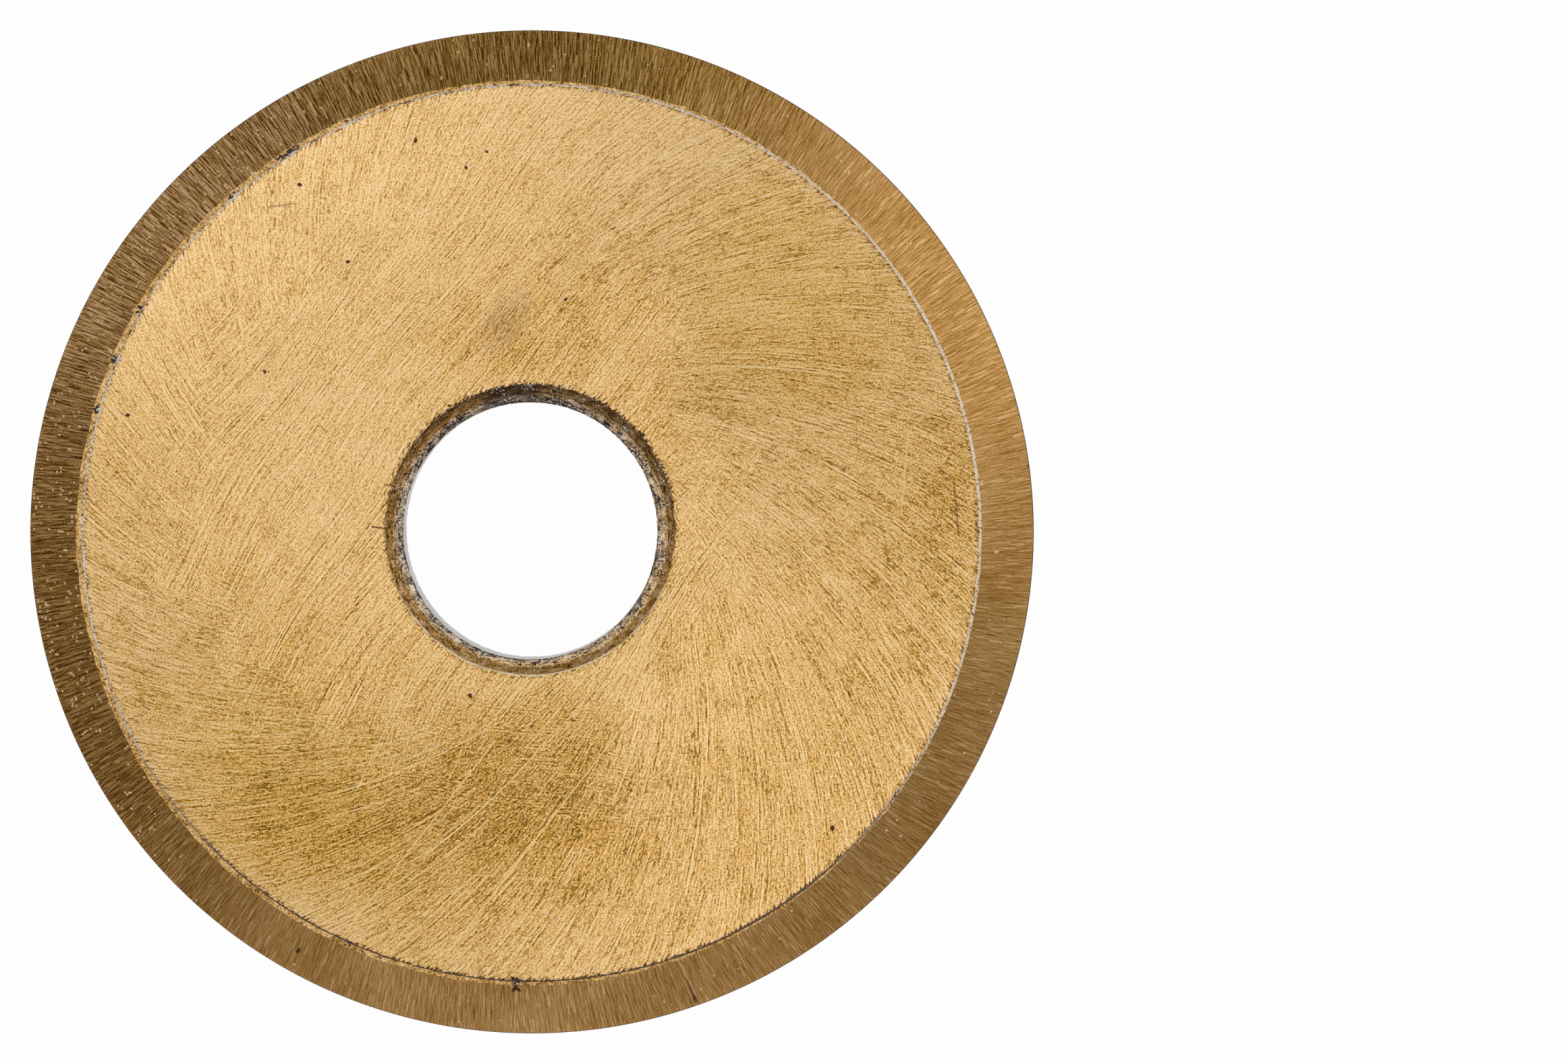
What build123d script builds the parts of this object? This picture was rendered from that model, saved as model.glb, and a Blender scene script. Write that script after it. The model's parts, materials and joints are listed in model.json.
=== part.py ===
from build123d import *
import math
import os

# Tile cutter wheel: one disc of tungsten carbide, pressed to shape, sintered, then ground
# flat on both faces and to a V round its rim. It turns loose on its bore.
# The axis is Z, and the origin is the bore's centre, level with the cutting edge.
# Every size is in millimetres.

# The disc
outer_diameter = 22.0
thickness = 2.0
bore_diameter = 5.6

# The rim: two bevels meet in a cutting edge, whose tip is rounded just enough not to chip
edge_angle = 80.0
edge_radius = 0.03

# The land: a narrow ledge of the pressed surface, between each ground face and its bevel
land_width = 0.08
land_depth = 0.04
land_wall_width = 0.03

# The bore's mouths: a countersink on each face, ending in a flat ring round the bore
mouth_depth = 0.2
mouth_angle = 90.0
mouth_ring_width = 0.18

# Heights above the middle plane
face_height = thickness / 2
land_height = face_height - land_depth
ring_height = face_height - mouth_depth

# Radii of the bore's mouth, from the wall outwards
bore_radius = bore_diameter / 2
ring_radius = bore_radius + mouth_ring_width
mouth_radius = ring_radius + mouth_depth * math.tan(math.radians(mouth_angle / 2))

# Radii of the rim, from the edge inwards. The bevels would meet at tip_radius, and
# rounding that tip brings the wheel back to its outer diameter.
half_edge_angle = math.radians(edge_angle / 2)
tip_radius = outer_diameter / 2 + edge_radius * (1 / math.sin(half_edge_angle) - 1)
bevel_radius = tip_radius - land_height / math.tan(half_edge_angle)
land_radius = bevel_radius - land_width
face_radius = land_radius - land_wall_width

with BuildPart() as cutter_wheel:
    with BuildSketch(Plane.XZ) as section:
        with BuildLine():
            Polyline(
                (bore_radius, 0),
                (bore_radius, ring_height),
                (ring_radius, ring_height),
                (mouth_radius, face_height),
                (face_radius, face_height),
                (land_radius, land_height),
                (bevel_radius, land_height),
                (tip_radius, 0),
            )
            mirror(about=Plane.XZ)
        make_face()
        tip = section.vertices().sort_by(Axis.X)[-1]
        fillet(tip, edge_radius)
    revolve(axis=Axis.Z)

cutter_wheel.part.label = "cutter_wheel"

os.makedirs("parts", exist_ok=True)
export_step(cutter_wheel.part, "parts/cutter_wheel.step")
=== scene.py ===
import json
import math

import bpy
import numpy as np
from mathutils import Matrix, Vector, noise


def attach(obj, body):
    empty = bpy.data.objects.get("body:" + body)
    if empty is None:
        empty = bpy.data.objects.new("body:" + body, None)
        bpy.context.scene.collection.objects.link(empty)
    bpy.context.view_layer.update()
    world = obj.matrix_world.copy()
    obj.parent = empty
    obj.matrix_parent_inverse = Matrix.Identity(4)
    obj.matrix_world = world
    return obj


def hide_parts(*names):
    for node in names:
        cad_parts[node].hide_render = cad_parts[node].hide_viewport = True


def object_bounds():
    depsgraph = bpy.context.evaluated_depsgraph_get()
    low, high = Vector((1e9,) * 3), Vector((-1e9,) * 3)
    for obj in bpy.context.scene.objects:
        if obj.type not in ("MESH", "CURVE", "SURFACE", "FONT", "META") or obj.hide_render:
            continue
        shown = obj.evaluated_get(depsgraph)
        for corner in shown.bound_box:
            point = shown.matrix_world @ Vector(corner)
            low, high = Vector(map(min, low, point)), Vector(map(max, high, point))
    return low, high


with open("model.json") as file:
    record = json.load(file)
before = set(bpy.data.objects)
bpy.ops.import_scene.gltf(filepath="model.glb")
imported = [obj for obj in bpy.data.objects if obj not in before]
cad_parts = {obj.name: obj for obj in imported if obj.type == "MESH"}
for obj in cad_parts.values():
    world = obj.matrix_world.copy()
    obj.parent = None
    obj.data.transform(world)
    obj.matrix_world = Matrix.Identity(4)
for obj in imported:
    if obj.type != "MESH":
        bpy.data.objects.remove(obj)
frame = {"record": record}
cad_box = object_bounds()

# The wheel: one disc of tungsten carbide, pressed to shape and sintered, then ground on both
# faces and to a V round its rim, and coated with gold titanium nitride. Each surface of its
# section is a zone with a finish of its own. Lengths are in millimetres until the mesh is made.
mm = 0.001
outer_radius = 11.0
half_thickness = 1.0
bore_radius = frame["record"]["mounts"][0]["dims"]["r_mm"]
ring_width = 0.18
mouth_depth = 0.2
land_depth = 0.04
land_width = 0.08
land_wall_width = 0.03
edge_angle = 80.0
edge_radius = 0.03

# What the press left: a grain where no grinding wheel has touched the blank, and uneven edges
pressed_grain = 0.010
grain_size = 0.06
ring_grain_size = 0.07
land_roughness = 0.003
bore_roughness = 0.004
rim_rounding = 0.02
rim_inset = 0.010
rim_oval = 0.018
rim_raggedness = 0.006
mouth_raggedness = 0.009
land_raggedness = 0.008
land_waviness = 0.007

# What grinding and use left: rounded mouths, sloping walls at the faces' edges, ripples, chips
# and a few nicks in the cutting edge
mouth_rounding_width = 0.028
mouth_rounding_depth = 0.010
edge_raggedness = 0.009
edge_waviness = 0.006
edge_wall_width = 0.044
edge_wall_lean = 0.013
edge_wall_bearing = 0.35
edge_wall_oval = 0.008
edge_wall_raggedness = 0.007
bevel_ripple = 0.0006
chip_reach = 0.05
chip_depth = 0.03
bevel_chip_reach = 0.04
bevel_chip_depth = 0.02
nick_depth = 0.004
nick_share = 0.25

ring_height = half_thickness - mouth_depth
land_height = half_thickness - land_depth
ring_radius = bore_radius + ring_width
mouth_radius = ring_radius + mouth_depth
half_edge_angle = math.radians(edge_angle / 2)
tip_radius = outer_radius + edge_radius * (1 / math.sin(half_edge_angle) - 1)
bevel_radius = tip_radius - land_height / math.tan(half_edge_angle)
land_radius = bevel_radius - land_width
face_radius = land_radius - land_wall_width

# Grinding never runs quite true to the pressed blank, so each surface is a little off centre
bevel_shift = (-0.038, 0.002)
face_shift = (0.011, 0.002)
mouth_shift = (-0.008, 0.056)
bore_shift = (-0.015, 0.041)

steps_round = 1440
angles = np.arange(steps_round) * (2 * math.pi / steps_round)


def wander(waves, seed):
    """A smooth random line round the wheel, between -1 and 1, with about so many waves a turn."""
    random = np.random.default_rng(seed)
    knots = random.uniform(-1, 1, waves)
    place = angles / (2 * math.pi) * waves
    low = place.astype(int)
    blend = place - low
    blend = blend * blend * (3 - 2 * blend)
    return knots[low % waves] * (1 - blend) + knots[(low + 1) % waves] * blend


def grit(radius, height, grain, seed):
    """The roughness of a pressed surface round one ring of it, between -1 and 1."""
    heights = []
    for angle in angles:
        point = Vector((radius * math.cos(angle), radius * math.sin(angle), height)) / grain
        heights.append(noise.noise(point + Vector((seed, 0, 0))))
    return np.array(heights)


# Each chip of the face's edge: its bearing in degrees, its length and its share of the full depth
chips = [
    (1.0, 0.20, 0.4), (70.0, 0.20, 0.5), (91.1, 0.14, 0.5),
    (95.0, 0.16, 0.6), (109.0, 0.20, 0.4), (114.0, 0.30, 0.4),
    (123.0, 0.60, 0.6), (131.7, 0.30, 0.6), (150.3, 0.24, 0.6),
    (157.3, 0.20, 0.8), (164.1, 0.16, 0.8), (183.2, 0.45, 0.5),
    (246.0, 0.16, 0.6), (268.2, 0.24, 1.0), (307.0, 0.16, 0.6),
]


def chipped(reach):
    """How deep the chips of the face's edge go at each angle, from 0 to 1, with ragged ends."""
    depth = np.zeros(steps_round)
    for number, (bearing, width, share) in enumerate(chips):
        away = (np.degrees(angles) - bearing + 180) % 360 - 180
        away = np.radians(away) * reach / (width / 2)
        jag = 0.8 + 0.35 * wander(500, 400 + number)
        depth = np.maximum(depth, share * np.clip(1 - away * away, 0, 1) * jag)
    return depth


class Blank:
    """The rings of the section, from the bore outwards, and the zone that starts at each one."""

    def __init__(self):
        self.rings = []
        self.zones = []
        self.sharp = []

    def ring(self, radius, height, shift, zone, sharp=False):
        """One ring of the section. The zone is that of the strip between it and the next."""
        radius = np.broadcast_to(radius, angles.shape)
        height = np.broadcast_to(height, angles.shape)
        x = radius * np.cos(angles) + shift[0]
        y = radius * np.sin(angles) + shift[1]
        self.rings.append(np.stack([x, y, height], axis=1))
        self.zones.append(zone)
        self.sharp.append(sharp)


zone_names = ["bore_wall", "mouth", "ground_face", "bare_edge", "land", "bevel"]
BORE_WALL, MOUTH, GROUND_FACE, BARE_EDGE, LAND, BEVEL = range(len(zone_names))


def part_way(start, end, share):
    """The point at a share of the way from one point to another."""
    return tuple(a + (b - a) * share for a, b in zip(start, end))


def lay_side(blank, seed, chip_share):
    """The section of one side, from the rim of the bore out to the cutting edge."""
    bore_edge = bore_radius - rim_inset - rim_oval * np.cos(2 * angles)
    bore_edge = bore_edge + rim_raggedness * wander(260, seed)
    blank.ring(bore_edge, ring_height - rim_rounding, bore_shift, MOUTH, True)
    blank.ring(bore_edge + rim_rounding, ring_height, bore_shift, MOUTH)
    for share in (0.35, 0.7):
        radius = bore_radius + ring_width * share
        height = ring_height + pressed_grain * grit(radius, ring_height, ring_grain_size, seed)
        blank.ring(radius, height, part_way(bore_shift, mouth_shift, share), MOUTH)
    cone_rings = 6
    for step in range(cone_rings):
        share = step / cone_rings
        radius = ring_radius + mouth_depth * share
        height = ring_height + mouth_depth * share
        rough = pressed_grain * grit(radius, height, grain_size, seed + 2)
        blank.ring(radius + rough, height - rough, mouth_shift, MOUTH)
    mouth_end = mouth_radius + mouth_raggedness * wander(420, seed + 3)
    mouth_end = mouth_end + mouth_raggedness * wander(120, seed + 4)
    rounding_height = half_thickness - mouth_rounding_depth
    blank.ring(mouth_end - mouth_rounding_width, rounding_height, mouth_shift, MOUTH, True)
    blank.ring(mouth_end, half_thickness, mouth_shift, GROUND_FACE, True)
    blank.ring(mouth_radius + 0.05, half_thickness, mouth_shift, GROUND_FACE)
    blank.ring((mouth_radius + face_radius) / 2, half_thickness, face_shift, GROUND_FACE)
    blank.ring(face_radius - 0.10, half_thickness, face_shift, GROUND_FACE)
    chip = chipped(face_radius) * chip_share
    face_end = face_radius + edge_raggedness * wander(900, seed + 5)
    face_end = face_end + edge_waviness * wander(300, seed + 6) - chip_reach * chip
    blank.ring(face_end, half_thickness, face_shift, BARE_EDGE, True)
    wall = edge_wall_width + edge_wall_lean * np.cos(angles - edge_wall_bearing)
    wall = wall + edge_wall_oval * np.cos(2 * angles)
    foot = face_radius + wall + edge_wall_raggedness * wander(700, seed + 7)
    blank.ring(foot, land_height - chip_depth * chip, face_shift, LAND, True)
    land_end = bevel_radius + land_raggedness * wander(500, seed + 8)
    land_end = land_end + land_waviness * wander(150, seed + 9) + bevel_chip_reach * chip
    for share in (0.3, 0.6, 0.85):
        radius = foot + (bevel_radius - foot) * share
        land_grit = grit(face_radius + 0.1 * share, land_height, grain_size, seed + 10)
        height = land_height + land_roughness * land_grit - chip_depth * chip
        blank.ring(radius, height, part_way(face_shift, bevel_shift, share), LAND)
    blank.ring(land_end, land_height - bevel_chip_depth * chip, bevel_shift, BEVEL, True)
    tip_start_radius = outer_radius + edge_radius * (math.sin(half_edge_angle) - 1)
    tip_start_height = edge_radius * math.cos(half_edge_angle)
    for share in (0.2, 0.4, 0.6, 0.8, 0.97):
        radius = bevel_radius + (tip_start_radius - bevel_radius) * share
        height = land_height + (tip_start_height - land_height) * share
        ripple = bevel_ripple * wander(720, seed + 11)
        blank.ring(radius + ripple, height, part_way(bevel_shift, (0, 0), share), BEVEL)
    tip_rings = 3
    for step in range(tip_rings):
        turn = half_edge_angle + (math.pi / 2 - half_edge_angle) * step / tip_rings
        radius = outer_radius + edge_radius * (math.sin(turn) - 1)
        blank.ring(radius, edge_radius * math.cos(turn), (0, 0), BEVEL)


def mirrored(blank):
    """The rings of a side, turned over and taken from the edge back to the bore."""
    turned = Blank()
    count = len(blank.rings)
    for index in reversed(range(count)):
        turned.rings.append(blank.rings[index] * (1, 1, -1))
        turned.zones.append(blank.zones[index - 1] if index else BORE_WALL)
        turned.sharp.append(blank.sharp[index])
    return turned


upper = Blank()
lay_side(upper, 100, 1.0)
under = Blank()
lay_side(under, 200, 0.6)
under = mirrored(under)

section = Blank()
section.rings = list(upper.rings)
section.zones = list(upper.zones)
section.sharp = list(upper.sharp)
edge_nicks = np.maximum(wander(240, 301) - (1 - nick_share), 0) / nick_share
section.ring(outer_radius - nick_depth * edge_nicks, 0.0, (0, 0), BEVEL)
section.rings += under.rings
section.zones += under.zones
section.sharp += under.sharp
for share in (0.25, 0.5, 0.75):
    wall = bore_radius + bore_roughness * grit(bore_radius, ring_height * share, 0.15, 7)
    section.ring(wall, -ring_height + 2 * ring_height * share, bore_shift, BORE_WALL)

ring_count = len(section.rings)
points = np.concatenate(section.rings) * mm
faces = []
face_zones = []
for ring in range(ring_count):
    after = (ring + 1) % ring_count
    here = np.arange(steps_round)
    there = (here + 1) % steps_round
    quads = np.stack([ring * steps_round + here, after * steps_round + here,
                      after * steps_round + there, ring * steps_round + there], axis=1)
    faces.append(quads[:, ::-1])
    face_zones += [section.zones[ring]] * steps_round
faces = np.concatenate(faces)
mesh = bpy.data.meshes.new("cutter_wheel_disc")
mesh.from_pydata(points.tolist(), [], faces.tolist())
mesh.polygons.foreach_set("use_smooth", [True] * len(faces))
mesh.polygons.foreach_set("material_index", face_zones)
edge_ends = np.zeros(len(mesh.edges) * 2, int)
mesh.edges.foreach_get("vertices", edge_ends)
edge_rings = edge_ends.reshape(-1, 2) // steps_round
arrises = (edge_rings[:, 0] == edge_rings[:, 1]) & np.array(section.sharp)[edge_rings[:, 0]]
mesh.attributes.new("sharp_edge", "BOOLEAN", "EDGE").data.foreach_set("value", arrises)
mesh.update()
wheel = bpy.data.objects.new("wheel_disc", mesh)
bpy.context.scene.collection.objects.link(wheel)
for name in zone_names:
    mesh.materials.append(None)
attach(wheel, "root")
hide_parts("cutter_wheel")


class Reading:
    """A number, point or colour that nodes work out at each point of a surface or of the sky."""

    def __init__(self, sums, socket):
        self.sums = sums
        self.socket = socket

    def __add__(self, other):
        return self.sums.calculate("ADD", self, other)

    def __radd__(self, other):
        return self.sums.calculate("ADD", other, self)

    def __sub__(self, other):
        return self.sums.calculate("SUBTRACT", self, other)

    def __rsub__(self, other):
        return self.sums.calculate("SUBTRACT", other, self)

    def __mul__(self, other):
        return self.sums.calculate("MULTIPLY", self, other)

    def __rmul__(self, other):
        return self.sums.calculate("MULTIPLY", other, self)

    def __truediv__(self, other):
        return self.sums.calculate("DIVIDE", self, other)


class Sums:
    """Sums with readings, which become nodes in the tree of a material or of the world."""

    def __init__(self, owner):
        owner.use_nodes = True
        self.nodes = owner.node_tree.nodes
        self.links = owner.node_tree.links
        self.nodes.clear()

    def put(self, value, socket):
        """Sends a reading, or a value that is the same all over, to a socket."""
        if isinstance(value, Reading):
            self.links.new(value.socket, socket)
        else:
            socket.default_value = value

    def calculate(self, operation, *values):
        node = self.nodes.new("ShaderNodeMath")
        node.operation = operation
        for value, socket in zip(values, node.inputs):
            self.put(value, socket)
        return Reading(self, node.outputs[0])

    def root(self, value):
        return self.calculate("SQRT", value)

    def bearing(self, y, x):
        return self.calculate("ARCTAN2", y, x)

    def arc_cosine(self, value):
        return self.calculate("ARCCOSINE", value)

    def sine(self, value):
        return self.calculate("SINE", value)

    def cosine(self, value):
        return self.calculate("COSINE", value)

    def greater(self, first, second):
        return self.calculate("MAXIMUM", first, second)

    def lesser(self, first, second):
        return self.calculate("MINIMUM", first, second)

    def between(self, value, low, high):
        """Rises smoothly from 0 at low to 1 at high."""
        node = self.nodes.new("ShaderNodeMapRange")
        node.interpolation_type = "SMOOTHSTEP"
        self.put(value, node.inputs["Value"])
        self.put(low, node.inputs["From Min"])
        self.put(high, node.inputs["From Max"])
        return Reading(self, node.outputs["Result"])


class Finish(Sums):
    """A finish of the metal, with lengths in millimetres."""

    def __init__(self, name, zone):
        material = bpy.data.materials.new(name)
        super().__init__(material)
        self.metal = self.nodes.new("ShaderNodeBsdfPrincipled")
        surface = self.nodes.new("ShaderNodeOutputMaterial")
        self.links.new(self.metal.outputs["BSDF"], surface.inputs["Surface"])
        place = self.nodes.new("ShaderNodeTexCoord")
        split = self.nodes.new("ShaderNodeSeparateXYZ")
        self.links.new(place.outputs["Object"], split.inputs[0])
        self.x = Reading(self, split.outputs["X"]) / mm
        self.y = Reading(self, split.outputs["Y"]) / mm
        self.z = Reading(self, split.outputs["Z"]) / mm
        mesh.materials[zone] = material

    def point(self, x, y, z):
        node = self.nodes.new("ShaderNodeCombineXYZ")
        for value, socket in zip((x, y, z), node.inputs):
            self.put(value, socket)
        return Reading(self, node.outputs[0])

    def stretch(self, point, scale, move):
        """The point times the scale, moved."""
        node = self.nodes.new("ShaderNodeVectorMath")
        node.operation = "MULTIPLY_ADD"
        self.put(point, node.inputs[0])
        node.inputs[1].default_value = scale
        node.inputs[2].default_value = move
        return Reading(self, node.outputs[0])

    def either(self, choice, first, second):
        """The first point where the choice is 0, and the second where it is 1."""
        node = self.nodes.new("ShaderNodeMix")
        node.data_type = "VECTOR"
        self.put(choice, node.inputs[0])
        self.put(first, node.inputs[4])
        self.put(second, node.inputs[5])
        return Reading(self, node.outputs[1])

    def noise(self, point, detail=0.0):
        """Noise about 0, mostly between -0.3 and 0.3, with a wave in about two units."""
        node = self.nodes.new("ShaderNodeTexNoise")
        node.inputs["Scale"].default_value = 1.0
        node.inputs["Detail"].default_value = detail
        self.put(point, node.inputs["Vector"])
        return Reading(self, node.outputs["Fac"]) - 0.5

    def grain(self, x, y, z, detail=0.0):
        """Noise at three lengths, each divided by the size of the grain."""
        return self.noise(self.point(x, y, z), detail)

    def even_grain(self, size, detail=0.0):
        """Noise that is as fine in all directions."""
        return self.grain(self.x / size, self.y / size, self.z / size, detail)

    def parts(self, point):
        """The three lengths of a point."""
        node = self.nodes.new("ShaderNodeSeparateXYZ")
        self.put(point, node.inputs[0])
        return [Reading(self, part) for part in node.outputs]

    def chance(self, x, y, z):
        """A number from 0 to 1 that is drawn again for every point."""
        node = self.nodes.new("ShaderNodeTexWhiteNoise")
        node.noise_dimensions = "3D"
        self.put(self.point(x, y, z), node.inputs["Vector"])
        return Reading(self, node.outputs["Value"])

    def laid(self, marks, length, width, seed):
        """Single marks laid end to end in rows: the chance drawn for each, its height, which is 1
        along its middle, and its two lips, of which one catches the light and the other is dark."""
        rows = self.stretch(marks, (1 / length, 1 / width, 1), (0, 0, seed))
        along, across, number = self.parts(rows)
        row = self.calculate("FLOOR", across)
        across = across - row
        along = along + self.chance(row, number, 0.5) * 9
        mark = self.calculate("FLOOR", along)
        along = along - mark
        middle = across * (1 - across) * self.lesser(along * (1 - along) * 9, 1.0) * 4
        return self.chance(row, mark, number), middle, middle * (1 - across * 2) * 2.6

    def colours(self, value, stops):
        """A colour from a scale of them. Each stop is a value from 0 to 1 and a screen colour."""
        node = self.nodes.new("ShaderNodeValToRGB")
        scale = node.color_ramp
        while len(scale.elements) < len(stops):
            scale.elements.new(0.5)
        for element, (at, colour) in zip(scale.elements, stops):
            element.position = at
            element.color = (*screen_colour(*colour), 1)
        self.put(value, node.inputs["Fac"])
        return Reading(self, node.outputs["Color"])

    def over(self, cover, under, top):
        """Lays one colour over another, as far as the cover reaches."""
        node = self.nodes.new("ShaderNodeMix")
        node.data_type = "RGBA"
        node.clamp_factor = True
        self.put(cover, node.inputs["Factor"])
        for value, socket in ((under, node.inputs[6]), (top, node.inputs[7])):
            self.put(value if isinstance(value, Reading) else (*screen_colour(*value), 1), socket)
        return Reading(self, node.outputs[2])

    def deepen(self, cover, colour, tint):
        """Multiplies a colour by a tint, as far as the cover reaches."""
        node = self.nodes.new("ShaderNodeMix")
        node.data_type = "RGBA"
        node.blend_type = "MULTIPLY"
        node.clamp_factor = True
        self.put(cover, node.inputs["Factor"])
        self.put(colour, node.inputs[6])
        node.inputs[7].default_value = (*tint, 1)
        return Reading(self, node.outputs[2])

    def spot(self, x, y, long_radius, short_radius, lean=0.0):
        """1 in the middle of a soft oval that leans by an angle in degrees, and 0 outside it."""
        cosine, sine = math.cos(math.radians(lean)), math.sin(math.radians(lean))
        along = (self.x * cosine + self.y * sine - (x * cosine + y * sine)) / long_radius
        across = (self.y * cosine - self.x * sine - (y * cosine - x * sine)) / short_radius
        return 1 - self.between(along * along + across * across, 0.0, 1.0)

    def scratch(self, start, end, width):
        """1 along the middle of a straight scratch, and 0 outside its width."""
        way = (end[0] - start[0], end[1] - start[1])
        length = math.hypot(*way)
        cosine, sine = way[0] / length, way[1] / length
        along = self.x * cosine + self.y * sine - (start[0] * cosine + start[1] * sine)
        across = self.y * cosine - self.x * sine - (start[1] * cosine - start[0] * sine)
        beyond = self.greater(self.calculate("ABSOLUTE", along - length / 2) - length / 2, 0.0)
        gap = self.root(across * across + beyond * beyond)
        return 1 - self.between(gap, 0.0, width)

    def finish_metal(self, colour, roughness, height=None, metallic=1.0):
        """Gives the metal its colour, its roughness and the height of its marks in millimetres."""
        self.put(colour, self.metal.inputs["Base Color"])
        self.put(roughness, self.metal.inputs["Roughness"])
        self.metal.inputs["Metallic"].default_value = metallic
        if height is not None:
            bump = self.nodes.new("ShaderNodeBump")
            bump.inputs["Distance"].default_value = mm
            self.put(height, bump.inputs["Height"])
            self.links.new(bump.outputs["Normal"], self.metal.inputs["Normal"])


def screen_colour(red, green, blue):
    """The linear colour of a screen colour from 0 to 255."""
    parts = []
    for part in (red / 255, green / 255, blue / 255):
        parts.append(part / 12.92 if part <= 0.04045 else ((part + 0.055) / 1.055) ** 2.4)
    return parts


# The ground faces: flat-ground under a cup wheel, whose swinging rim left arcs that cross at
# shallow angles, then coated. Straighter strokes of a later lapping cross them round the bore,
# and a few sweeps run level across the front.
tool_radius = 14.3
tool_offset = 11.4
passes = 16
stroke_angle = 55.0
stroke_curve = 0.007
sweep_angle = -5.0
sweep_curve = -0.016
mark_width = 0.034
nick_length = 0.30
nick_width = 0.066
score_width = 0.064
line_length = 4.5
line_width = 0.040
groove_dark = (110, 84, 24)
line_highlight = (255, 228, 168)
line_dark = (120, 84, 30)
smear_grey = (160, 132, 116)
# The tint of the dull patches and of the painted shade where the marks run level
deep_and_shaded_tint = (1.0, 0.94, 0.75)
yellow_tint = (1.0, 0.99, 0.84)

face = Finish("ground_face", GROUND_FACE)
reach = face.root(face.x * face.x + face.y * face.y)
triangle = reach * reach + (tool_offset ** 2 - tool_radius ** 2)
lean = face.arc_cosine(triangle / (reach * (2 * tool_offset)))
tool_bearing = face.bearing(face.y, face.x) - lean


def grinding_arcs(shift):
    """The arcs of the nearest pass: lengths along and across, the way across, and strength."""
    x, y = face.x, face.y
    turn = tool_bearing * (passes / (2 * math.pi)) + shift
    nearest = face.calculate("ROUND", turn)
    swing = (nearest - shift) * (2 * math.pi / passes)
    tool_x = face.cosine(swing)
    tool_y = face.sine(swing)
    gap = tool_offset - (tool_x * x + tool_y * y)
    aside = tool_x * y - tool_y * x
    across = face.root(gap * gap + aside * aside) - tool_radius
    along = face.bearing(aside, gap) * tool_radius
    number = face.calculate("FLOORED_MODULO", nearest, float(passes)) * 7.3 + shift * 91.7
    way = face.point(x - tool_x * tool_offset, y - tool_y * tool_offset, 0.0)
    strength = face.cosine((turn - nearest) * math.pi)
    return face.point(along, across, number), way, strength * strength


def straight_strokes(angle, curve, number):
    """Straight strokes, a little bent: lengths along and across them, and the way across."""
    x, y = face.x, face.y
    cosine, sine = math.cos(math.radians(angle)), math.sin(math.radians(angle))
    along = x * cosine + y * sine
    bend = face.grain(x * 0.25, y * 0.25, number) * 0.8 + along * along * curve
    place = face.point(along, y * cosine - x * sine + bend, number)
    return place, (-sine, cosine, 0.0)


arcs, arcs_way, arcs_strength = grinding_arcs(0.0)
other_arcs, other_way, _ = grinding_arcs(0.5)
strokes, strokes_way = straight_strokes(stroke_angle, stroke_curve, 40.0)
sweeps, sweeps_way = straight_strokes(sweep_angle, sweep_curve, 50.0)

# The strokes lie round the bore, and the sweeps in front and behind at the right
stroke_x = face.x + 1.9
stroke_y = face.y - 1.0
stroke_reach = face.root(stroke_x * stroke_x + stroke_y * stroke_y)
stroke_edge = face.grain(face.x * 0.5, face.y * 0.5, 61.0) * 3.0
stroke_share = 1 - face.between(stroke_reach + stroke_edge, 4.6, 7.2)
sweep_share = face.spot(-0.8, -5.2, 5.0, 2.4, -8) * 0.50 + face.spot(5.8, 4.6, 3.0, 2.2, 20) * 0.35


def marks_here(size, seed):
    """The place in the set of marks that lies uppermost here, which changes over about a size."""
    toss = face.grain(face.x / size, face.y / size, seed)
    other = face.calculate("GREATER_THAN", toss * 2.2 + 0.5, arcs_strength)
    toss = face.grain(face.x / size, face.y / size, seed + 5) * 1.8
    stroke = face.calculate("GREATER_THAN", stroke_share * 0.9 - 0.1, toss + 0.42)
    sweep = face.calculate("GREATER_THAN", sweep_share * 0.9 - 0.1, 0.46 - toss)
    place = face.either(stroke, face.either(other, arcs, other_arcs), strokes)
    return face.either(sweep, place, sweeps)


def way_here(size):
    """The way across the marks, drawn again for each patch of the size, by each set's share."""
    column = face.calculate("FLOOR", face.x / size)
    row = face.calculate("FLOOR", face.y / size)
    other = face.calculate("GREATER_THAN", face.chance(column, row, 1.5), arcs_strength)
    toss = face.chance(column, row, 2.5)
    stroke = face.calculate("GREATER_THAN", stroke_share, toss)
    sweep = face.calculate("GREATER_THAN", sweep_share * 0.7, 1 - toss)
    way = face.either(stroke, face.either(other, arcs_way, other_way), strokes_way)
    return face.either(sweep, way, sweeps_way)


def drawn_out(marks, length, width, seed, detail=0.0):
    """Grain drawn out along the marks."""
    return face.noise(face.stretch(marks, (1 / length, 1 / width, 1), (0, 0, seed)), detail)


# Each small patch shows the marks of one set, and the sheen of the metal follows them
patch_size = 0.26
way_size = 0.028
marks = marks_here(patch_size, 20.0)
marks_way = way_here(way_size)

# Fine grooves, broad bands and dark dashes along the marks, with a speckle over them all
fine = drawn_out(marks, 0.12, mark_width, 0.0)
bands = drawn_out(marks, 1.6, 0.15, 700.0, 1.0)
dashes = drawn_out(marks, 0.10, mark_width, 300.0)
speckle = face.grain(face.x / 0.036, face.y / 0.036, 4.0)

# Short nicks with one lip painted bright as a highlight and one painted dark as shade
along, across, number = face.parts(marks)
across = across + face.grain(face.x / 0.3, face.y / 0.3, 33.0) * 0.10
drawn, _, lips = face.laid(face.point(along, across, number), nick_length, nick_width, 570.0)
nicks = (drawn * 2 - 1) * lips
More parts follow.
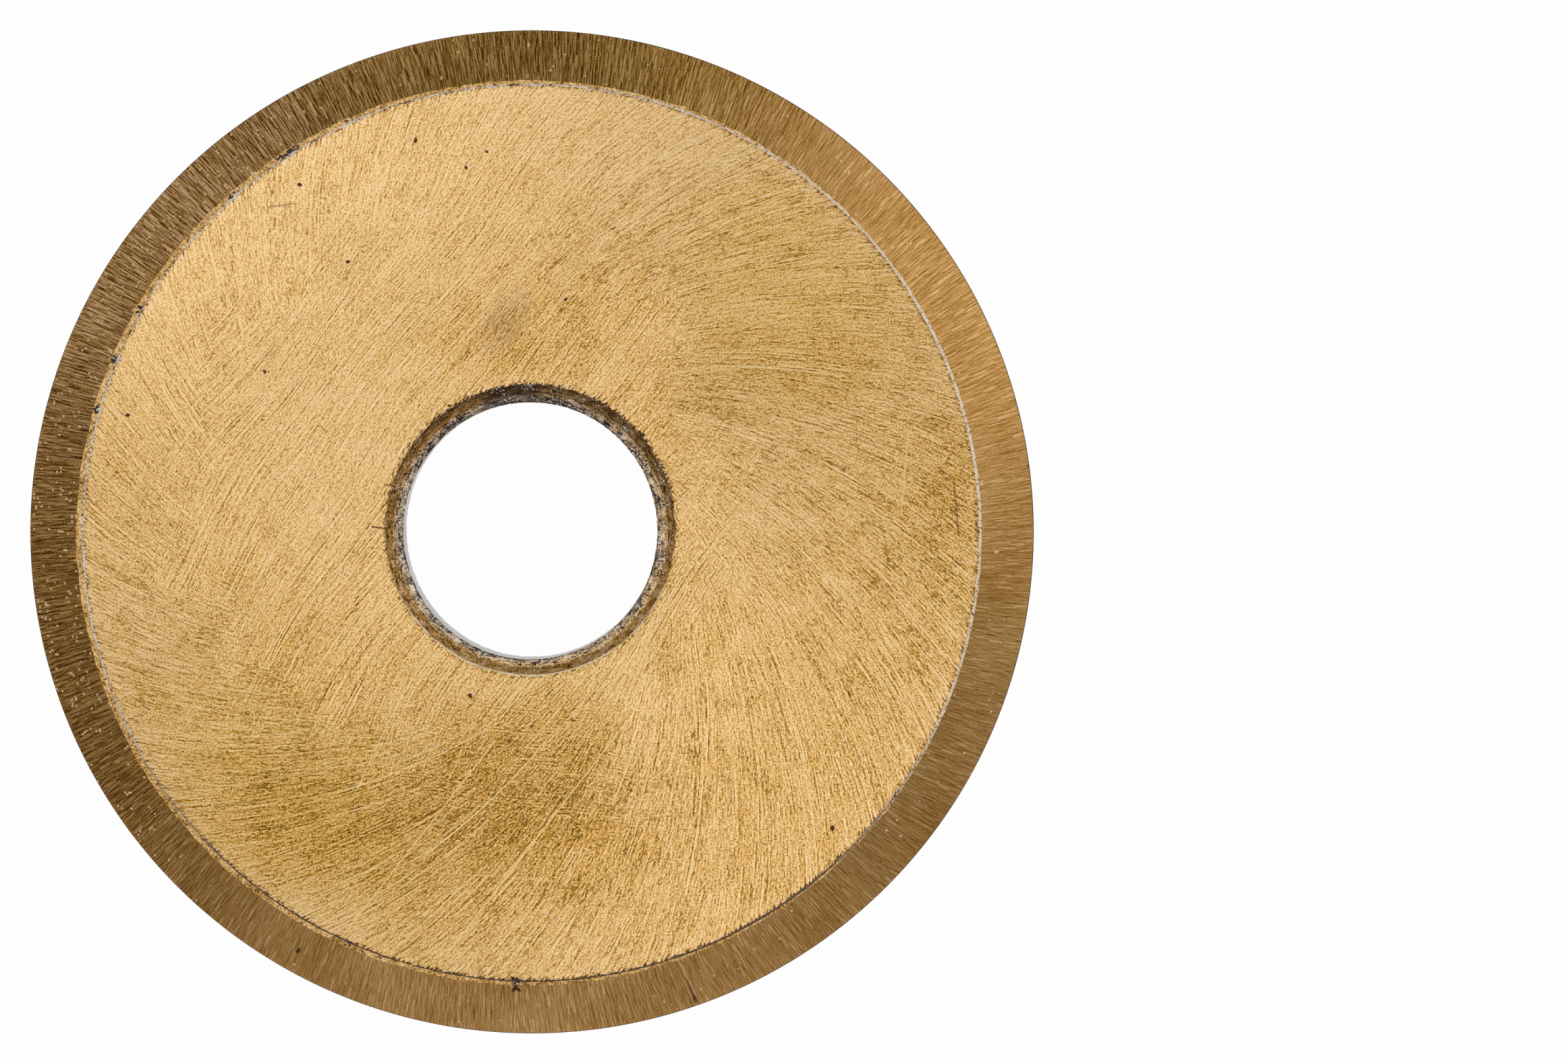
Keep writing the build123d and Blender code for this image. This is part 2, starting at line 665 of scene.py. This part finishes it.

# The longer marks of every pass lie over each other and cross. Most are faint, and a few are deep.
# Their lips are painted as highlight and shade, and the brightest lines are painted highlights.
bundles = face.grain(face.x * 0.9, face.y * 0.9, 15.0, 1.0)
arcs_share = 1 - stroke_share * 0.75
scores = 0.0
lines = 0.0
for set_of_marks, share, length, seed in [
    (arcs, arcs_strength * arcs_share, 0.9, 500.0),
    (other_arcs, (1 - arcs_strength) * arcs_share, 1.0, 510.0),
    (strokes, stroke_share * 0.85 + 0.15, 1.1, 520.0),
    (sweeps, sweep_share * 0.9 + 0.05, 0.9, 530.0),
]:
    drawn, _, lips = face.laid(set_of_marks, length, score_width, seed)
    drawn = drawn * 2 - 1
    scores = scores + drawn * drawn * drawn * lips * share
for set_of_marks, share, seed in [
    (arcs, arcs_strength * arcs_share, 540.0),
    (strokes, stroke_share * 0.8 + 0.2, 560.0),
]:
    drawn, middle, _ = face.laid(set_of_marks, line_length, line_width, seed)
    strong = face.between(drawn + bundles * 0.3, 0.84, 1.0)
    lines = lines + strong * strong * middle * middle * share
    lines = lines - face.between(bundles * 0.4 - drawn, -0.06, 0.02) * middle * share * 0.4

patches = face.grain(face.x * 0.33, face.y * 0.33, 5.0, 2.0)
clouds = face.grain(face.x * 1.5, face.y * 1.5, 9.0, 1.0)

# The coating is deeper and duller in patches, and brighter near the rim at one side. Where the
# marks run level it is painted darker: painted shade, as level marks reflect the dim light in
# front and behind.
level_share = (face.y - face.sine(tool_bearing) * tool_offset) / tool_radius
dull = level_share * level_share * 0.14
for x, y, long_radius, short_radius, slant, depth in [
    (0.0, -5.4, 3.2, 2.4, 5, 0.57),
    (-4.3, -6.2, 3.8, 1.9, -12, 0.34),
    (-0.1, -7.4, 4.2, 1.6, 8, 0.31),
    (-2.6, -4.4, 3.0, 1.6, -30, 0.16),
    (9.2, 0.4, 1.6, 2.6, 10, 0.26),
    (7.9, 4.3, 3.0, 2.2, 25, 0.08),
    (4.7, 3.4, 3.4, 1.5, 8, 0.14),
    (5.6, 6.4, 3.0, 4.6, 40, -0.10),
    (0.8, 4.9, 2.6, 1.8, 20, 0.16),
    (-0.9, 4.1, 1.6, 1.0, 10, 0.32),
    (1.2, 8.9, 3.6, 1.6, -5, -0.26),
    (3.3, 1.2, 0.8, 2.2, 0, 0.10),
    (-5.2, 6.6, 7.5, 3.8, 42, -0.12),
    (5.6, -4.8, 7.0, 4.4, 50, 0.22),
    (3.5, -2.0, 1.6, 1.3, 60, 0.18),
    (-4.9, -2.8, 2.2, 1.5, 50, 0.20),
    (2.1, -5.2, 1.7, 1.3, 60, -0.16),
]:
    dull = dull + face.spot(x, y, long_radius, short_radius, slant) * depth
inner = face.between(reach, 4.0, 8.0)
dull = dull + patches * 0.40 + clouds * 0.55 + bands * 0.75 + inner * 0.10 - 0.10
dull = dull - (1 - face.between(face_radius - reach, 0.0, 0.45)) * 0.12
deep = face.between(dull, -0.1, 0.75)

# Dark grooves where it is worn, which are partly painted shade, and a comb of groove ends along
# both edges of the face
dark_cover = face.between(deep * 0.08 + bands * 0.28 + clouds * 0.20 - dashes, 0.19, 0.25)
from_rim = face_radius - reach
mouth_gap_x = face.x - mouth_shift[0]
mouth_gap_y = face.y - mouth_shift[1]
from_mouth = face.root(mouth_gap_x * mouth_gap_x + mouth_gap_y * mouth_gap_y) - mouth_radius
beside = 2 - face.between(from_rim, 0.0, 0.11) - face.between(from_mouth, 0.0, 0.13)
comb = beside * face.between(0 - fine - dashes * 0.6, 0.02, 0.14)
grooves = fine * 0.54 + nicks * 0.215 + scores * 0.41 + speckle * 1.1
tone = 0.765 - dull * 0.29 + grooves * (deep * 0.25 + 0.96) - comb * 0.34
face_gold = face.colours(tone, [
    (0.0, (106, 62, 2)),
    (0.2, (149, 101, 22)),
    (0.4, (189, 141, 62)),
    (0.6, (220, 174, 101)),
    (0.8, (243, 199, 132)),
    (1.0, (255, 222, 172)),
])
yellower = face.spot(-5.2, -5.6, 4.4, 2.6, -40) + face.spot(5.6, 5.2, 3.4, 2.6, -40)
# Deeper gold in the dull patches and in the painted shade of the level marks
face_gold = face.deepen(deep, face_gold, deep_and_shaded_tint)
face_gold = face.deepen(yellower, face_gold, yellow_tint)
face_gold = face.over(dark_cover * (deep * 0.32 + 0.46), face_gold, groove_dark)
# Painted highlights along the brightest lines
face_gold = face.over(lines * (deep + 0.6), face_gold, line_highlight)
face_gold = face.over(lines * -0.5, face_gold, line_dark)

# Pits in the sintered carbide, and the longest single scratches and cuts. The scratches are painted
# bright as highlights.
scratch_width = 0.024
cut_width = 0.034
pit_dark = (84, 52, 44)
scratch_highlight = (250, 214, 142)
cut_dark = (96, 64, 40)

pits = 0.0
for x, y, size in [
    (-3.99, 5.92, 0.045),
    (-5.80, 3.52, 0.04),
    (-5.04, 7.60, 0.05),
    (-8.79, 2.57, 0.05),
    (0.76, 5.10, 0.04),
    (-2.51, 8.56, 0.05),
    (-0.96, 8.32, 0.035),
    (-1.41, 7.97, 0.04),
    (-1.32, -3.55, 0.05),
    (6.58, -6.44, 0.06),
]:
    pits = pits + face.spot(x, y, size * 1.4, size, x * 40)
face_gold = face.over(pits * 1.6, face_gold, pit_dark)
scratches = 0.0
for start, end, strength in [
    ((-4.11, -8.80), (-0.86, -4.64), 1.3),
    ((-2.01, -9.43), (2.34, -3.79), 1.3),
    ((-3.11, -9.21), (-0.94, -7.22), 1.0),
    ((-4.51, -7.22), (0.57, -7.60), 0.5),
    ((3.54, 4.66), (7.41, 5.03), 0.6),
    ((4.58, 7.09), (6.69, 7.16), 0.6),
    ((5.72, 3.69), (9.11, 3.33), 0.5),
    ((8.23, 2.19), (8.08, 0.39), 1.0),
    ((-2.19, 8.22), (-1.60, 8.07), 0.6),
]:
    scratches = scratches + face.scratch(start, end, scratch_width) * strength * 1.2
# Painted highlights along the bright scratches
face_gold = face.over(scratches * (speckle + 1), face_gold, scratch_highlight)
cuts = 0.0
for start, end, strength in [
    ((9.22, 1.21), (9.34, -0.05), 0.7),
    ((-5.72, 7.11), (-5.13, 7.19), 0.5),
    ((-3.46, 0.14), (-3.12, 0.09), 1.0),
]:
    cuts = cuts + face.scratch(start, end, cut_width) * strength
face_gold = face.over(cuts, face_gold, cut_dark)
face_gold = face.over(face.spot(-0.6, 4.6, 1.1, 0.6, 60) * 0.22, face_gold, smear_grey)

# Dark ends of the marks, most along the rim in front and along the mouth behind: grinding dirt
# caught in them, and painted shade.
dirt_and_shade_at_rim = (76, 52, 32)
dirt_and_shade_at_mouth = (56, 42, 34)
chip_dark = (44, 34, 30)

dirty_shaded_rim = face.between(face.y / reach * -1 + clouds * 0.8, 0.45, 0.85)
teeth = 1 - face.between(from_rim + dashes * 0.16 + fine * 0.10, 0.0, 0.045)
face_gold = face.over(teeth * (dirty_shaded_rim * 0.55 + 0.25), face_gold, dirt_and_shade_at_rim)
dirty_shaded_mouth = face.between(face.y / reach + clouds * 1.2, 0.0, 0.9)
teeth = 1 - face.between(from_mouth + dashes * 0.28 + fine * 0.18, 0.0, 0.06)
face_gold = face.over(teeth * (dirty_shaded_mouth * 0.9 + 0.05), face_gold, dirt_and_shade_at_mouth)
for x, y, long_radius, short_radius, slant in [
    (-0.34, -9.79, 0.15, 0.06, 62),
    (-0.36, -9.76, 0.14, 0.05, -50),
    (-4.56, -8.73, 0.10, 0.05, 20),
]:
    chip = face.spot(x, y, long_radius, short_radius, slant)
    face_gold = face.over(chip * 1.6, face_gold, chip_dark)
scratch_height = fine * 0.0011 - dark_cover * 0.0010 - comb * 0.003
face.finish_metal(face_gold, roughness=0.40, height=scratch_height)
face.metal.inputs["Anisotropic"].default_value = 0.8
face.put(marks_way, face.metal.inputs["Tangent"])

# The bevels: ground to the cutting edge on a fine wheel that ran across the rim, so its marks
# lie along the radius. Their gold is darker and browner than the faces': partly a thinner coating,
# partly painted shade for the dim light low round the table that they reflect.
bevel_middle = 10.4
bevel_score_length = 0.32
bevel_score_width = 0.066
speck_size = 0.045
rubbed_width = 0.030
speck_bright = (246, 212, 156)
bevel_chip_dark = (72, 44, 32)
rubbed_dark = (56, 38, 38)
left_shade_tint = (0.66, 0.60, 0.40)
green_tint = (1.0, 0.97, 0.62)

bevel = Finish("ground_bevel", BEVEL)
bevel_reach = bevel.root(bevel.x * bevel.x + bevel.y * bevel.y)
mark_lean = math.tan(math.radians(4.0))
turned = bevel.bearing(bevel.y, bevel.x) - (bevel_reach - outer_radius) * (mark_lean / outer_radius)
way_x = bevel.cosine(turned)
way_y = bevel.sine(turned)


def radial_marks(width, length, seed, detail=0.0):
    """Grain drawn out along the radius, as wide as it says at the middle of the bevel."""
    waves = bevel_middle / width
    outward = bevel_reach / length + bevel.z * 3 + seed
    return bevel.grain(way_x * waves, way_y * waves, outward, detail)


def toward(finish, bearing):
    """1 at one bearing from the wheel's axis, falling to -1 at the other side of the wheel."""
    reach = finish.root(finish.x * finish.x + finish.y * finish.y)
    across = finish.x * math.cos(math.radians(bearing)) + finish.y * math.sin(math.radians(bearing))
    return across / reach


# The grinding lines, which are coarser behind on the left. Their scores have one lip painted
# bright as a highlight and one painted dark as shade.
radial = radial_marks(0.015, 0.15, 0.0, 1.0)
long_radial = radial_marks(0.024, 0.8, 90.0, 1.0)
wide_radial = radial_marks(0.12, 1.5, 50.0)
bevel_grit = bevel.even_grain(0.02)
bevel_patches = bevel.grain(bevel.x * 0.5, bevel.y * 0.5, 3.0, 1.0)
coarser = bevel.between(toward(bevel, 143.0), -0.05, 0.55) * 1.08 + 0.62
outward_marks = bevel.point(bevel_reach, turned * bevel_middle, 1.0)
drawn, middle, lips = bevel.laid(outward_marks, bevel_score_length, bevel_score_width, 5.0)
bevel_scores = (drawn * 2 - 1) * lips * 0.31 + bevel.between(drawn, 0.80, 1.0) * middle * 0.32
greener = bevel.between(toward(bevel, 88.0), 0.80, 1.0)

# Single specks, which catch the light and look pale
speck_x = bevel.calculate("FLOOR", bevel.x / speck_size)
speck_y = bevel.calculate("FLOOR", bevel.y / speck_size)
specks = bevel.chance(speck_x, speck_y, 3.0) + bevel.even_grain(0.30, 1.0) * 0.26
specks = specks + coarser * 0.05 - greener * 0.04
speck_cover = bevel.between(specks, 1.045, 1.075) * 0.9

# The gold, which is greener behind, and browner and darker on the left: painted shade
bevel_tone = 0.508 + bevel_patches * 0.25 + wide_radial * 0.12 + greener * 0.03
bevel_marks = radial * 1.2 + long_radial * 0.9 + bevel_grit * 0.8 + bevel_scores
bevel_tone = bevel_tone + bevel_marks * coarser
bevel_gold = bevel.colours(bevel_tone, [
    (0.0, (94, 50, 0)),
    (0.25, (147, 99, 26)),
    (0.5, (187, 142, 81)),
    (0.75, (218, 173, 114)),
    (1.0, (244, 203, 154)),
])
# Painted shade on the left
left_shade = bevel.between(toward(bevel, 196.0), 0.72, 1.0)
bevel_gold = bevel.deepen(left_shade, bevel_gold, left_shade_tint)
bevel_gold = bevel.deepen(greener, bevel_gold, green_tint)
bevel_gold = bevel.over(speck_cover, bevel_gold, speck_bright)

# Chips along the edges of the upper bevel, and the cutting edge, which is rubbed bare and dark
upper_side = bevel.calculate("GREATER_THAN", bevel.z, 0.0)
for x, y, long_radius, short_radius, slant, cover in [
    (-0.36, -9.95, 0.13, 0.05, 55, 1.2),
    (-0.29, -9.95, 0.12, 0.045, -48, 1.2),
    (3.57, -10.23, 0.16, 0.07, -70, 0.8),
    (3.48, -10.00, 0.40, 0.03, -72, 0.8),
    (-5.10, -9.15, 0.10, 0.07, 60, 0.9),
    (10.92, 1.45, 0.10, 0.06, 10, 0.9),
]:
    chip = bevel.spot(x, y, long_radius, short_radius, slant) * upper_side * cover
    bevel_gold = bevel.over(chip, bevel_gold, bevel_chip_dark)
rubbed_from = outer_radius - rubbed_width
rubbed = bevel.between(bevel_reach + radial * 0.02, rubbed_from, outer_radius - 0.008)
bevel_gold = bevel.over(rubbed * 0.85, bevel_gold, rubbed_dark)
bevel_height = radial * 0.0011 + long_radial * 0.0010 + bevel_grit * 0.0009
bevel.finish_metal(bevel_gold, roughness=0.36, height=bevel_height)
bevel.put(1 - speck_cover, bevel.metal.inputs["Metallic"])
bevel.metal.inputs["Anisotropic"].default_value = 0.8
bevel.put(bevel.point(0 - way_y, way_x, 0.0), bevel.metal.inputs["Tangent"])

# The land: the skin of the pressed blank, which no grinding wheel has touched. It is smooth and
# matt, with grey carbide showing where it has chipped. Its pale flecks are painted glints.
land_middle = 9.84
fleck_dark = (72, 58, 58)
fleck_glint = (250, 236, 212)

land = Finish("pressed_land", LAND)
land_grain = land.even_grain(0.045, 2.0)
land_patches = land.grain(land.x / 0.4, land.y / 0.4, 2.0, 1.0)
land_tone = 0.54 + land_grain * 2.4 + land_patches * 0.9 - toward(land, 285.0) * 0.04
land_gold = land.colours(land_tone, [
    (0.0, (104, 66, 22)),
    (0.3, (174, 131, 68)),
    (0.6, (216, 173, 106)),
    (1.0, (252, 214, 160)),
])
land_flecks = land.grain(land.x / 0.07, land.y / 0.07, 8.0, 2.0)
flecked = land.grain(land.x / 0.6, land.y / 0.6, 3.0) * 0.4
for bearing, width, share in chips:
    x = land_middle * math.cos(math.radians(bearing))
    y = land_middle * math.sin(math.radians(bearing))
    flecked = flecked + land.spot(x, y, width * 0.8, 0.12, bearing + 90) * (share * 0.45)
dark_flecks = land.between(land_flecks + flecked, 0.24, 0.32)
land_gold = land.over(dark_flecks, land_gold, fleck_dark)
# Pale flecks: painted glints
glinting_flecks = land.between(flecked * 0.9 - land_flecks, 0.40, 0.46)
land_gold = land.over(glinting_flecks, land_gold, fleck_glint)
land.finish_metal(land_gold, roughness=0.5, height=land_grain * land_roughness)

# The faces' outer edges: the coating has chipped from them. The bare carbide is painted near white,
# a painted reflection of its shine, whiter still at the left and right as a painted highlight.
# Along the front it is dark: grinding dirt, and painted shade.
thin_gold = (255, 232, 200)
thin_gold_dark = (150, 104, 60)
edge_dirt_and_shade = (58, 36, 16)

bare_edge = Finish("bare_edge", BARE_EDGE)
edge_grain = bare_edge.even_grain(0.05, 1.0)
edge_long = bare_edge.grain(bare_edge.x / 0.5, bare_edge.y / 0.5, 3.0, 1.0)
edge_side = toward(bare_edge, 20.0)
edge_tone = 0.52 + edge_grain * 2.8 + edge_long * 1.4 + edge_side * edge_side * 0.22
edge_grey = bare_edge.colours(edge_tone, [
    (0.0, (84, 56, 40)),
    (0.3, (186, 144, 96)),
    (0.6, (250, 232, 212)),
    (0.9, (255, 255, 255)),
])
gilded = bare_edge.between(edge_side + edge_grain, 0.3, 0.9)
edge_grey = bare_edge.over(gilded * 0.8, edge_grey, thin_gold)
gilded_grain = gilded * bare_edge.between(edge_grain, 0.06, 0.16)
edge_grey = bare_edge.over(gilded_grain, edge_grey, thin_gold_dark)
edge_dirt_and_shade_cover = bare_edge.between(toward(bare_edge, 268.0) + edge_grain * 1.4 + edge_long * 0.6, 0.44, 0.82)
edge_grey = bare_edge.over(edge_dirt_and_shade_cover * 0.95, edge_grey, edge_dirt_and_shade)
bare_edge.finish_metal(edge_grey, roughness=0.45, metallic=0.0)

# The bore's mouths: a cone and a flat ring, pressed like the land. The holder that the wheel
# turned in has rubbed them. They are painted lighter in front and darker behind, as painted light
# and shade, with a stain of dirt behind, and the arris in front is painted pale: worn, and a
# painted highlight.
glint_white = (255, 250, 246)
blot_dark = (52, 46, 52)
crumb_orange = (250, 190, 110)
rust_orange = (255, 172, 84)
fibre_dark = (40, 30, 24)
fibre_width = 0.018
worn_and_highlight_pale = (255, 236, 196)
stain_dark = (46, 38, 44)
tan_tint = (1.0, 0.90, 0.78)
ring_shade_tint = (0.66, 0.62, 0.62)
shade_tint = (0.72, 0.74, 0.80)
lit_tint = (1.0, 0.96, 0.76)
rim_shade_tint = (0.50, 0.46, 0.46)

mouth = Finish("pressed_mouth", MOUTH)
mouth_x = mouth.x - mouth_shift[0]
mouth_y = mouth.y - mouth_shift[1]
mouth_reach = mouth.root(mouth_x * mouth_x + mouth_y * mouth_y)
mouth_grain = mouth.even_grain(0.042, 1.0)
mouth_patches = mouth.even_grain(0.2, 2.0)
round_x = mouth_x / mouth_reach * ring_radius
round_y = mouth_y / mouth_reach * ring_radius
mouth_streaks = mouth.grain(round_x / 0.20, round_y / 0.20, mouth_reach / 0.040, 1.0)

# The cone is brown gold, painted brighter in front as painted light. The ring is a speckled grey,
# tan on the right and painted darker behind as painted shade.
lit = mouth.between(toward(mouth, 290.0), 0.3, 0.95)
cone_tone = 0.51 + mouth_grain * 1.7 + mouth_streaks * 1.3 + mouth_patches * 1.1 + lit * 0.20
cone_gold = mouth.colours(cone_tone, [
    (0.0, (66, 38, 6)),
    (0.3, (156, 111, 48)),
    (0.6, (212, 166, 98)),
    (1.0, (255, 222, 172)),
])
ring_tone = 0.48 + mouth_grain * 1.6 + mouth_streaks * 1.9 + mouth_patches * 1.5
ring_grey = mouth.colours(ring_tone, [
    (0.0, (42, 36, 38)),
    (0.3, (140, 126, 112)),
    (0.6, (200, 178, 148)),
    (1.0, (252, 236, 212)),
])
ring_tan = mouth.between(toward(mouth, 345.0), -0.5, 0.5)
ring_grey = mouth.deepen(ring_tan, ring_grey, tan_tint)
ring_shade = mouth.between(toward(mouth, 104.0), 0.3, 0.85)
ring_grey = mouth.deepen(ring_shade, ring_grey, ring_shade_tint)
on_cone = mouth.between(mouth_reach + mouth_grain * 0.16, ring_radius - 0.07, ring_radius + 0.01)
mouth_colour = mouth.over(on_cone, ring_grey, cone_gold)

# The cone is duller behind and on the left, with a dark line along its rim behind: both painted
# shade. A short orange line runs along its foot
shaded = mouth.between(toward(mouth, 72.0), 0.1, 0.9)
shaded = shaded + mouth.between(toward(mouth, 200.0), 0.6, 1.0) * 0.6
shaded = shaded + mouth.between(toward(mouth, 74.0), 0.92, 1.0) * 0.5
shaded = shaded + mouth.between(toward(mouth, 136.0), 0.8, 1.0) * 0.5
mouth_colour = mouth.deepen(shaded * on_cone, mouth_colour, shade_tint)
mouth_colour = mouth.deepen(lit * on_cone, mouth_colour, lit_tint)
ragged_outer = mouth_reach + mouth_grain * 0.10
# Painted shade along the rim behind
rim_shade_line = mouth.between(ragged_outer, mouth_radius - 0.07, mouth_radius - 0.03)
rim_shade_line = rim_shade_line * mouth.between(toward(mouth, 85.0), 0.0, 0.7)
mouth_colour = mouth.deepen(rim_shade_line, mouth_colour, rim_shade_tint)
inner_line = mouth.between(mouth_reach, ring_radius - 0.01, ring_radius + 0.02)
inner_line = inner_line * (1 - mouth.between(mouth_reach, ring_radius + 0.06, ring_radius + 0.10))
inner_line = inner_line * mouth.between(toward(mouth, 127.0), 0.94, 0.98)
mouth_colour = mouth.over(inner_line * 0.3, mouth_colour, rust_orange)

# Crystals of carbide that glint, dark blots between them, a few orange crumbs and one fibre
glints = mouth.even_grain(0.04, 1.0)
glint_groups = mouth.even_grain(0.30, 1.0)
stained = mouth.between(toward(mouth, 98.0) + mouth_patches * 0.05, 0.968, 0.988)
specked = glints + glint_groups * 0.6 + toward(mouth, 10.0) * 0.04 + stained * 0.05 - on_cone * 0.02
glint_cover = mouth.between(specked, 0.19, 0.23)
mouth_colour = mouth.over(glint_cover, mouth_colour, glint_white)
ragged_inner = mouth_reach + mouth_grain * 0.15
near_bore = 1 - mouth.between(ragged_inner, bore_radius + 0.02, bore_radius + 0.08)
blots = mouth.even_grain(0.07, 1.0)
blotted = blots + glint_groups * 0.8 + near_bore * 0.11 - on_cone * 0.12
blot_cover = mouth.between(blotted, 0.15, 0.23)
mouth_colour = mouth.over(blot_cover * 0.75, mouth_colour, blot_dark)
for x, y, radius, cover in [
    (-1.38, 2.42, 0.07, 0.9),
    (-1.52, 2.30, 0.04, 0.8),
    (-2.10, -2.20, 0.05, 0.7),
]:
    crumb = mouth.spot(x, y, radius, radius * 0.7) * cover
    mouth_colour = mouth.over(crumb, mouth_colour, crumb_orange)
fibre = mouth.scratch((0.33, 3.07), (1.10, 2.69), fibre_width)
fibre = fibre + mouth.scratch((1.10, 2.69), (1.41, 2.66), fibre_width)
mouth_colour = mouth.over(fibre, mouth_colour, fibre_dark)

# The arris in front is painted pale, worn and a painted highlight, and a dark stain lies over the
# mouth behind
mouth_rim = mouth.between(mouth_reach + glints * 0.06, mouth_radius - 0.046, mouth_radius - 0.030)
mouth_rim = mouth_rim * mouth.between(glint_groups * 2.4 - toward(mouth, 95.0), 0.0, 1.1)
mouth_colour = mouth.over(mouth_rim, mouth_colour, worn_and_highlight_pale)
mouth_dirt = stained * mouth.between(mouth_grain, -0.26, 0.0) * (1 - glint_cover)
mouth_colour = mouth.over(mouth_dirt * 0.66, mouth_colour, stain_dark)
mouth.finish_metal(mouth_colour, roughness=0.5, height=mouth_grain * 0.012)
mouth.put(1 - glint_cover - mouth_rim, mouth.metal.inputs["Metallic"])

# The wall of the bore: bare grey carbide. The coating has gone from it, and years of turning
# have polished fine level bands round it.
bore_wall = Finish("bore_wall", BORE_WALL)
wall_grain = bore_wall.grain(bore_wall.x / 0.6, bore_wall.y / 0.6, bore_wall.z / 0.05, 1.0)
wall_grey = bore_wall.colours(0.5 + wall_grain * 1.2, [
    (0.0, (112, 108, 107)),
    (0.5, (176, 172, 170)),
    (1.0, (226, 222, 219)),
])
bore_wall.finish_metal(wall_grey, roughness=0.35)

# The floor: a plain sheet of white card, on which the wheel lies flat. It is the studio's own
# and no part of the wheel, so it is only staged.
floor_size = 0.6
floor_mesh = bpy.data.meshes.new("floor")
half = floor_size / 2
floor_height = cad_box[0][2]
corners = [(-half, -half, floor_height), (half, -half, floor_height),
           (half, half, floor_height), (-half, half, floor_height)]
floor_mesh.from_pydata(corners, [], [(0, 1, 2, 3)])
floor = bpy.data.objects.new("floor", floor_mesh)
bpy.context.scene.collection.objects.link(floor)
sheet = bpy.data.materials.new("white_sheet")
floor_mesh.materials.append(sheet)

# It glows white to the eye and in the metal, and keeps a little of the wheel's shadow
glow_share = 0.97
card_white = (0.95, 0.95, 0.95, 1)
glow_white = (1, 1, 1, 1)

sheet_sums = Sums(sheet)
paper = sheet_sums.nodes.new("ShaderNodeBsdfDiffuse")
paper.inputs["Color"].default_value = card_white
glow = sheet_sums.nodes.new("ShaderNodeEmission")
glow.inputs["Color"].default_value = glow_white
glow.inputs["Strength"].default_value = 1.0
ray = sheet_sums.nodes.new("ShaderNodeLightPath")
to_eye = Reading(sheet_sums, ray.outputs["Is Camera Ray"])
in_metal = Reading(sheet_sums, ray.outputs["Is Glossy Ray"])
through_glass = Reading(sheet_sums, ray.outputs["Is Transmission Ray"])
seen = sheet_sums.greater(sheet_sums.greater(to_eye, in_metal), through_glass)
layers = sheet_sums.nodes.new("ShaderNodeMixShader")
sheet_sums.put(seen * glow_share, layers.inputs["Fac"])
sheet_sums.links.new(paper.outputs[0], layers.inputs[1])
sheet_sums.links.new(glow.outputs[0], layers.inputs[2])
sheet_surface = sheet_sums.nodes.new("ShaderNodeOutputMaterial")
sheet_sums.links.new(layers.outputs[0], sheet_surface.inputs["Surface"])

# The studio: one long soft light that arches over the wheel from left to right, dimmer towards
# its ends in front and behind, and a few pale cards that stand round the table
arch_light = 1.05
end_light = 0.22
table_light = 0.10

world = bpy.data.worlds.new("studio")
bpy.context.scene.world = world
studio = Sums(world)
direction = studio.nodes.new("ShaderNodeTexCoord")
split = studio.nodes.new("ShaderNodeSeparateXYZ")
studio.links.new(direction.outputs["Generated"], split.inputs[0])
to_right = Reading(studio, split.outputs["X"])
to_back = Reading(studio, split.outputs["Y"])
to_top = Reading(studio, split.outputs["Z"])
toward_end = studio.between(studio.calculate("ABSOLUTE", to_back), 0.10, 0.80)
overhead = arch_light - toward_end * (arch_light - end_light)
level = studio.greater(studio.root(to_right * to_right + to_back * to_back), 0.001)
low_light = table_light
for bearing, sharpness, card_light in [
    (32, 8.0, 1.30),
    (278, 3.0, 0.42),
    (138, 10.0, 0.26),
    (345, 12.0, 0.25),
]:
    turn = math.radians(bearing)
    facing = (to_right * math.cos(turn) + to_back * math.sin(turn)) / level
    card = studio.calculate("POWER", studio.greater(facing, 0.0), sharpness)
    low_light = low_light + card * card_light
above_cards = studio.between(to_top, 0.20, 0.55)
sky = studio.nodes.new("ShaderNodeBackground")
sky.inputs["Color"].default_value = glow_white
studio.put(low_light + above_cards * (overhead - low_light), sky.inputs["Strength"])
sky_surface = studio.nodes.new("ShaderNodeOutputWorld")
studio.links.new(sky.outputs[0], sky_surface.inputs["Surface"])

# The camera looks straight down from 190 mm up, over the middle of the photograph's width and a
# little behind the wheel's centre, so a strip of the bore's wall shows at the left and in front.
frame_width_px = 2324
frame_height_px = 1576
wheel_centre_px = (788.57, 788.51)
wheel_radius_px = 743.67
camera_height = 0.190
camera_back = 0.005
sensor_width = 36.0
px = outer_radius * mm / wheel_radius_px
camera_data = bpy.data.cameras.new("camera")
camera_data.sensor_width = sensor_width
camera_data.lens = sensor_width * camera_height / (frame_width_px * px)
camera_data.clip_start = 0.001
centre_below = (wheel_centre_px[1] - frame_height_px / 2) * px
camera_data.shift_y = (centre_below - camera_back) / (frame_width_px * px)
camera = bpy.data.objects.new("camera", camera_data)
camera.location = ((frame_width_px / 2 - wheel_centre_px[0]) * px, camera_back, camera_height)
bpy.context.scene.collection.objects.link(camera)
bpy.context.scene.camera = camera
bpy.context.scene.view_settings.view_transform = "Standard"
